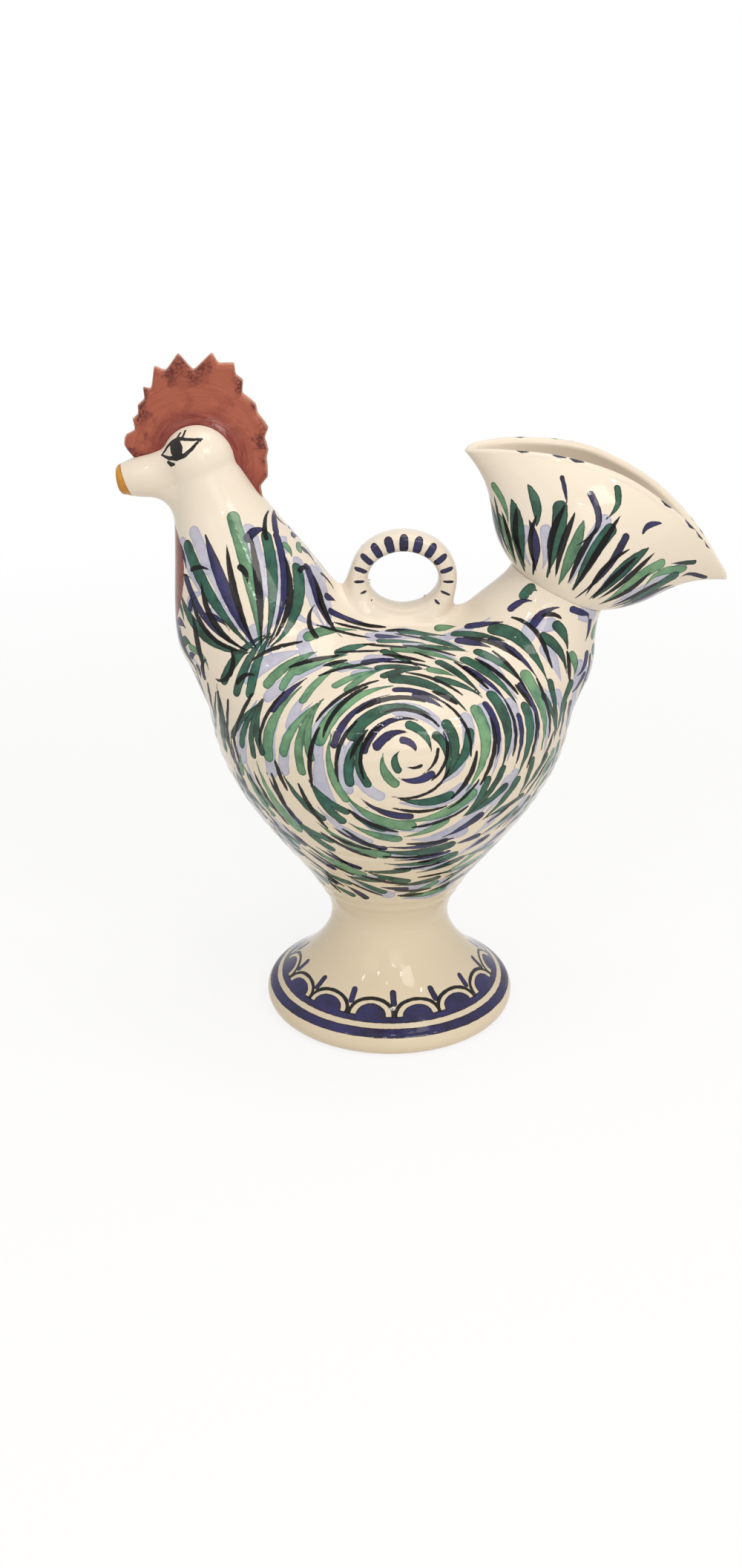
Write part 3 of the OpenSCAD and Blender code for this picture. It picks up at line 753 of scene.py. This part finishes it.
# Beak: a short tapered tube luted to the face, bored through for pouring and dipped in ochre at its tip.
outer_rows, bore_r = 100, 3.5
bore = np.array([[bore_r, 36.6], [bore_r, 14]])
beak_rows = np.concatenate([evenly(beak_line, outer_rows), evenly(bore, 20)])
beak_skin, beak_out = thrown(beak_root, beak_tilt, beak_rows, around=180)
beak_skin[:outer_rows] = luted(beak_skin[:outer_rows], beak_out[:outer_rows], beak_piece)
beak, beak_points = fired("beak", beak_skin, ring=True)
# The ochre dip reaches 4 mm up the beak, less on its upper side and more on its lower one.
_, beak_axis = tilted(beak_tilt)
forward, rise = (beak_points - beak_root) @ beak_axis, beak_points[:, 2] - beak_root[2]
glazed(beak, beak_points, ochre=np.maximum(forward - 0.2 * rise - 31.8, 0))
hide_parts("beak_spout")

# Comb: a flat slab cut from rolled clay, its teeth pinched thin between finger and thumb, luted along crown
# and nape. Iron-red glaze lies smooth and dark along its root and crawls into mottles towards the teeth.
comb_r, comb_inner = 47.2, 11
# The edge's notches and points: degrees round the head from the nape, and the share of the comb's radius.
tooth_shares = np.array([
    (191, 0.43), (180, 0.60), (172, 0.68), (169, 0.71), (166.8, 0.716), (163, 0.72), (160.2, 0.714),
    (154.6, 0.657), (147.8, 0.718), (142.5, 0.70), (137.5, 0.75), (131, 0.745), (126.1, 0.841),
    (122.5, 0.784), (113.5, 0.947), (108.4, 0.873), (98.8, 0.994),
    (91.2, 0.835), (80.9, 1), (76.3, 0.919), (68.1, 0.964), (64.8, 0.871), (59.5, 0.86), (55.5, 0.752),
    (43.5, 0.754), (37.4, 0.712), (24.7, 0.725), (18.3, 0.655), (8.3, 0.659), (2, 0.635), (-13.6, 0.659),
    (-22.5, 0.621), (-32.2, 0.701), (-38, 0.66), (-48, 0.56),
])
turns = np.radians(np.linspace(190, -46, 900))
# Between a notch and a point the edge leaves the notch in a round and reaches the point steeper.
place_of = np.clip(np.searchsorted(-tooth_shares[:, 0], -np.degrees(turns)) - 1, 0, len(tooth_shares) - 2)
(angle_1, low), (angle_2, high) = tooth_shares[place_of].T, tooth_shares[place_of + 1].T
along = np.clip((np.degrees(turns) - angle_1) / (angle_2 - angle_1), 0, 1)
tips = (low + (high - low) * np.where(high > low, along ** 1.3, 1 - (1 - along) ** 1.3)) * comb_r


def smoothed(line, spread, count):
    """A line averaged over a count of its points by a bell curve, which ends at its spread."""
    bell = np.exp(-np.linspace(-spread, spread, count) ** 2)
    return np.convolve(np.pad(line, count // 2, "edge"), bell / bell.sum(), "valid")


tips = np.minimum(smoothed(tips, 1.8, 13), tips + 0.4)
section_count = 40
section = np.linspace(0, 1, section_count)
out_share = np.concatenate([section, section[::-1]])
reach = comb_inner + (tips[:, None] - comb_inner) * out_share
to_tip, from_head = tips[:, None] - reach, reach - head_r
# Half its thickness: 3.6 mm by the root, 2.1 where the teeth start, rounded off at the edge, and spread where
# it is luted to the head.
teeth_start = 0.85 * smoothed(tips, 2, 121)[:, None]
half = np.interp(to_tip, [0, 0.35, 1.1, 2.6], [0, 1.0, 1.6, 2.1])
half += 1.6 * np.exp(-np.maximum(from_head, 0) / 1.6)
half += 1.5 * np.clip((teeth_start - reach) / (teeth_start - head_r), 0, 1)
lumps = 0.07 * np.sin(turns * 13)[:, None] * np.sin(reach * 0.5 + 2 * np.sin(turns * 5)[:, None])
half = np.clip(half + lumps * np.clip(to_tip / 4, 0, 1) * np.clip(from_head / 8, 0, 1), 0, 5)
ends = np.clip((np.arange(len(turns)) + 1) / 18, 0, 1)
half *= np.sqrt(np.minimum(ends, ends[::-1]))[:, None]
sign = np.repeat((-1, 1), section_count)
comb_skin = np.stack([
    head_middle[0] + reach * np.cos(turns)[:, None],
    half * sign + 0.5 * np.sin(turns * 3)[:, None] * out_share ** 2,
    head_middle[2] + reach * np.sin(turns)[:, None],
], -1)
comb, _ = fired("comb", comb_skin)
# The mesh stores the way round the comb, out from the head's middle and to the comb's edge, in metres.
store = np.stack(np.broadcast_arrays(turns[:, None] * 30, reach, to_tip), -1).reshape(-1, 3) / 1000
store = np.concatenate([store, store[:1], store[-1:]]).astype(np.float32)
comb.data.attributes.new("comb_run", "FLOAT_VECTOR", "POINT").data.foreach_set("vector", store.ravel())

# Iron-red glaze: terracotta where it is thin, maroon where it is thick or has crawled into fine veins between
# the teeth, with a painted highlight in a pale tone along their edges. It is glossy where it lies thick by
# the root.
iron_red = bpy.data.materials.new("iron_red_glaze")
nodes, add = drawn(iron_red)
place = add("TexCoord", out="Object")
run = add("Attribute", out="Vector", attribute_name="comb_run")
along, outward, inward = add("SeparateXYZ", {0: run}).node.outputs
# Brush marks follow the comb round: 1.5 mm wide and 15 mm long.
swept = add("Mapping", {"Vector": run, "Scale": (70, 650, 1)})
sweep = add("TexNoise", {"Vector": swept, "Scale": 1, "Detail": 3, "Roughness": 0.6})
# Veins 0.4 mm wide wind 2 to 3 mm apart through blots of about a centimetre.
wind = add("TexNoise", {"Vector": place, "Scale": 330, "Detail": 4, "Roughness": 0.62, "Distortion": 1.2})
wind = add("Math", {0: wind, 1: 0.5}, operation="SUBTRACT")
wind = add("Math", {0: wind}, operation="ABSOLUTE")
vein = add("MapRange", {0: wind, 1: 0.02, 2: 0.09, 3: 1, 4: 0.1}, **SMOOTH)
blot = add("TexNoise", {"Vector": place, "Scale": 85, "Detail": 3, "Roughness": 0.6})
blot = add("MapRange", {0: blot, 1: 0.44, 2: 0.54}, **SMOOTH)
by_root = add("MapRange", {0: outward, 1: 0.0165, 2: 0.026, 3: 0.8, 4: 0}, **SMOOTH)
by_tooth = add("MapRange", {0: inward, 1: 0.0015, 2: 0.012, 3: 1, 4: 0.16}, **SMOOTH)
patch = add("Math", {0: vein, 1: blot}, operation="MULTIPLY")
patch = add("Math", {0: patch, 1: by_tooth}, operation="MULTIPLY")
streak = add("MapRange", {0: sweep, 1: 0.4, 2: 0.66})
streak = add("Math", {0: streak, 1: by_root}, operation="MULTIPLY")
# A painted highlight: a pale tone within about a millimetre of the teeth's edge.
rim_highlight = add("MapRange", {0: inward, 1: 0.0002, 2: 0.0012, 3: 0.65, 4: 0}, **SMOOTH)
# The lobe over the beak and the end down the nape are painted darker.
lobe = add("MapRange", {0: along, 1: 0.087, 2: 0.093, 3: 0, 4: 0.8}, **SMOOTH)
nape = add("MapRange", {0: along, 1: -0.016, 2: 0.0, 3: 0.7, 4: 0}, **SMOOTH)
dark_ends = add("Math", {0: lobe, 1: nape}, operation="MAXIMUM")
colour = "#AB634C"
for share, strength, tone in (
    (sweep, 1, "#8F4534"), (blot, 0.3, "#823B30"), (by_root, 0.7, "#7A2A27"), (dark_ends, 1, "#74292A"),
    (streak, 1, "#682424"), (patch, 1, "#5A2320"), (rim_highlight, 1, "#D3A08A"),
):
    share = add("Math", {0: share, 1: strength}, operation="MULTIPLY")
    colour = add("Mix", {0: share, 6: colour, 7: tone}, **COLOURS)
# Low waves 4.5 mm long under the glaze.
waves = add("TexNoise", {"Vector": place, "Scale": 220, "Detail": 2})
relief = add("Bump", {"Height": waves, "Strength": 1, "Distance": 0.00015})
relief = add("Bump", {"Height": patch, "Strength": 1, "Distance": 0.00008, "Normal": relief})
feed(nodes["Principled BSDF"], {
    "Base Color": colour, "Roughness": add("MapRange", {0: by_root, 3: 0.34, 4: 0.1}), "IOR": 1.52,
    "Specular IOR Level": 0.25, "Normal": relief,
})
comb.data.materials.append(iron_red)
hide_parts("comb")

# Tail root: a thrown collar luted over the shoulder. Its narrow upper ring carries the funnel.
outer_rows, wall = 120, 5.5
stem_rows = np.concatenate([evenly(stem_line, outer_rows), evenly(stem_line, 30)[::-1] - (wall, 0)])
stem_skin, stem_out = thrown(tail_middle, tail_tilt, stem_rows, around=300)
stem_skin[:outer_rows] = luted(stem_skin[:outer_rows], stem_out[:outer_rows], stem_piece)
stem, stem_points = fired("tail_root", stem_skin, ring=True, normals=shaded(stem_skin, stem_piece))
glazed(stem, stem_points, feathers)
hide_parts("tail_stem")


# Tail funnel: thrown as a bowl, then pressed flat into a fan while soft, which pulls its mouth out into two
# corners and arches the rims between them. Plumes are painted up both faces from the collar.
def funnel(turn, t, inset=0.0, lift=0.0):
    """Points on the funnel: from a circle at t = 0 it swells and then flares to a long mouth at t = 1, which
    arches up between its corners; the section is pinched towards each corner by a power of the sine."""
    rise = cubic(t, 0, 0.3, 0.67, 1)
    half_long = cubic(t, 23.2, 47, 39.95, 67) - inset
    half_wide = cubic(t, 23.2, 32, 32, 18.5) - inset
    power = 1 + ((1 + np.cos(turn)) / 2 - 0.2) * rise
    sine = np.sin(turn)
    arch = 20 * sine ** 2 + 3 * np.maximum(sine, 0)
    x = half_long * np.cos(turn) + 1.0 * rise
    y = half_wide * np.sign(sine) * np.abs(sine) ** power
    z = (36.3 + arch) * rise + lift
    side, up = tilted(tail_tilt)
    return tail_middle + x[..., None] * side + y[..., None] * ASIDE + z[..., None] * up


mouth_turn = np.linspace(0, 2 * np.pi, 420, endpoint=False)[None]
t_out = np.linspace(0, 1, 150)[:, None] ** 0.9
lip = np.linspace(0, np.pi, 13)[1:-1, None]
t_in = np.linspace(1, 0, 70)[:, None]
# The lip waves by a quarter of a millimetre, and the wall is thickest half way up.
waves = 0.14 * np.sin(mouth_turn * 7 + 1) + 0.1 * np.sin(mouth_turn * 11) - 0.4
swell = np.sin(np.pi * t_in)
funnel_skin = np.concatenate([
    funnel(mouth_turn, t_out, 0 * t_out, waves * t_out ** 4),
    funnel(mouth_turn, np.ones_like(lip), 2.5 * (1 - np.cos(lip)), 2.5 * np.sin(lip) + waves),
    funnel(mouth_turn, t_in, wall - 0.5 * t_in + 3.5 * swell, 1.9 * swell + waves * t_in ** 4),
])
tail, tail_points = fired("tail_funnel", funnel_skin, ring=True)
roll = np.random.default_rng(47).uniform
halves = {"deep": 1, "pale": 0.9, "cobalt": 0.75, "black": 0.5}
plumes = []
for side in (-1, 1):
    # Long plumes rise from the collar, shorter ones stand between and over them up to the lip.
    for low, high, count, wide, swing, layers in (
        (0.05, 0.76, 13, 3.0, 0.08, ("deep", "cobalt", "deep", "pale")),
        (0.1, 0.5, 13, 2.4, 0.12, ("cobalt", "deep", "pale")),
        (0.42, 0.9, 13, 2.3, 0.14, ("deep", "cobalt", "pale")),
        (0.68, 0.95, 7, 1.6, 0.1, ("cobalt", "deep")),
        (0.08, 0.8, 26, 2.6, 0.1, ("black",)),
    ):
        for plume in range(count):
            share = (plume + roll(0.3, 0.7)) / count
            turn = side * (np.radians(12) + share * np.radians(156))
            t = np.linspace(0, 1, 11)
            start = low + roll(0, 0.07)
            end = start + (high - start) * roll(0.7, 1) * (1 - 0.3 * abs(share - 0.5))
            bow = ((share - 0.5) * 0.5 * t ** 1.5 + roll(-swing, swing) * np.sin(np.pi * t)) * side
            climb, layer = start + (end - start) * t, layers[plume % len(layers)]
            half = halves[layer] * wide * roll(0.8, 1.15)
            shape = comma(half, 11) if roll() < 0.6 and layer != "black" else leaf(half * 1.1, 11)
            plumes.append((layer, funnel(turn + bow, climb), shape, roll(0.3, 0.9)))
            if roll() < 0.3 and high < 0.8 and layer != "black":
                path = funnel(turn + bow - 0.08, climb + 0.04)
                plumes.append(("wash", path, comma(roll(2.6, 3.8), 11), 0.5))
    for dab in (0.27, 0.36, 0.40, 0.62, 0.70, 0.74, 0.78):
        path = funnel(side * (np.radians(180 * (1 - dab)) + np.linspace(0, 0.11, 5)), np.ones(5), 1.2, 2)
        plumes.append(("cobalt", path, np.array([0.5, 1.1, 1.5, 1, 0.4]) * roll(0.7, 1.1), 0.8))
glazed(tail, tail_points, apart(plumes))
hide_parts("tail_funnel")


# Ring handle: a strap pulled from a lump of clay, bent into a ring and stood on the saddle between neck and
# tail. Cobalt dabs run round both its faces, the largest at the top.
def strap(turn, section):
    """Points on the strap and its normals: an oblong section with rounded corners carried round an oval."""
    turn, section = np.broadcast_arrays(turn, section)
    line = np.stack([handle_half[0] * np.cos(turn), 0 * turn, handle_half[1] * np.sin(turn)], -1)
    out = unit(np.stack([handle_half[1] * np.cos(turn), 0 * turn, handle_half[0] * np.sin(turn)], -1))
    thick, wide = 4.3 + 0.25 * np.sin(turn)[..., None], 8

    def power(value, exponent):
        return (np.sign(value) * np.abs(value) ** exponent)[..., None]
    c, s = np.cos(section), np.sin(section)
    skin = line + thick * power(c, 2 / 3) * out + wide * power(s, 2 / 3) * ASIDE
    return handle_middle + skin, unit(power(c, 4 / 3) / thick * out + power(s, 4 / 3) / wide * ASIDE)


around_ring, around_strap = (np.linspace(0, 2 * np.pi, count, endpoint=False) for count in (300, 96))
strap_skin, strap_out = strap(around_ring[:, None], around_strap[None])
strap_skin = luted(strap_skin, strap_out, handle_piece)
handle, handle_points = fired("ring_handle", strap_skin, ring=True)
dabs = []
for side in (-1, 1):
    for dab, turn in enumerate(np.linspace(-38, 218, 15)):
        top = max(0, math.sin(math.radians(turn)))
        section = np.linspace(-0.75, 0.75, 7) * (0.5 + 0.5 * top) + side * np.pi / 2
        path, _ = strap(np.full(7, math.radians(turn)), section)
        half = (0.7 + 1.35 * top) * np.array([0.6, 0.9, 1, 1, 1, 0.9, 0.6])
        dabs.append(("cobalt", path, half, 0.45 + 0.4 * ((dab * 7) % 5) / 5))
glazed(handle, handle_points, dabs)
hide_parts("ring_handle")

# Studio: white paper under the jug that keeps its shadow and runs on without end, and soft lamps from above
# that leave the glaze a few clear lights.
floor_mesh = bpy.data.meshes.new("floor")
floor_mesh.from_pydata([(-20, -6, 0), (20, -6, 0), (20, 40, 0), (-20, 40, 0)], [], [(0, 1, 2, 3)])
floor = placed("floor", floor_mesh)


def looks():
    """One for a ray that looks, also by way of a gloss or a glass, and nought for one that gathers light."""
    rays = add("LightPath").node.outputs
    seen = rays["Is Camera Ray"]
    for way in ("Is Glossy Ray", "Is Transmission Ray"):
        seen = add("Math", {0: seen, 1: rays[way]}, operation="MAXIMUM")
    return seen


paper = bpy.data.materials.new("white_paper")
nodes, add = drawn(paper)
nodes.remove(nodes["Principled BSDF"])
# Near the jug a sixth of the paper's tone is real light, which is where the shadow shows; far off none is.
far = add("VectorMath", {0: add("TexCoord", out="Object")}, out=1, operation="LENGTH")
near = add("MapRange", {0: far, 1: 0.25, 2: 1.1, 3: 0.83, 4: 1}, **SMOOTH)
seen = add("Math", {0: looks(), 1: near}, operation="MULTIPLY")
matt = add("BsdfDiffuse", {"Color": "#F4F3F0"})
lit = add("Emission", {"Color": (1, 1, 1, 1), "Strength": 1})
feed(nodes["Material Output"], {"Surface": add("MixShader", {0: seen, 1: matt, 2: lit})})
floor_mesh.materials.append(paper)

world = bpy.data.worlds.new("room")
bpy.context.scene.world = world
nodes, add = drawn(world)
feed(nodes["Background"], {"Strength": add("MapRange", {0: looks(), 3: 0.5, 4: 1}), "Color": (1, 1, 1, 1)})

# Four broad lamps light the jug, and seven small ones leave glints on it. All face its middle.
lamps = [
    ("key", (0.55, -0.95, 1.1), 0.4, 4.6, "#FFF8EE"),
    ("fill", (-0.7, -1.0, 0.8), 0.5, 1.2, "#FFF6EA"),
    ("front", (0.3, -1.5, 0.8), 0.6, 3.0, "#FFF9F0"),
    ("top", (0.2, 0.0, 1.45), 0.6, 5.0, "#FFF9F0"),
]
glints = (
    (-0.75, -0.8, 1.2, 0.05), (-0.45, -1.15, 1.2, 0.06), (-0.15, -1.05, 1.4, 0.05), (0.05, -0.55, 1.5, 0.06),
    (0.1, -1.35, 1.0, 0.05), (0.4, -1.25, 1.3, 0.05), (0.8, -0.6, 1.3, 0.05),
)
for number, (*spot, size) in enumerate(glints, 1):
    lamps.append((f"spot_{number}", spot, size, 10 * size, "#FFFFFF"))
for name, spot, size, watts, tint in lamps:
    light = bpy.data.lights.new(name, "AREA")
    light.size, light.energy, light.color = size, watts, linear(tint)[:3]
    lamp = placed(name, light)
    lamp.location = spot
    lamp.rotation_euler = (Vector((0, 0, 0.15)) - Vector(spot)).to_track_quat("-Z", "Y").to_euler()

bpy.context.scene.view_settings.view_transform = "Standard"
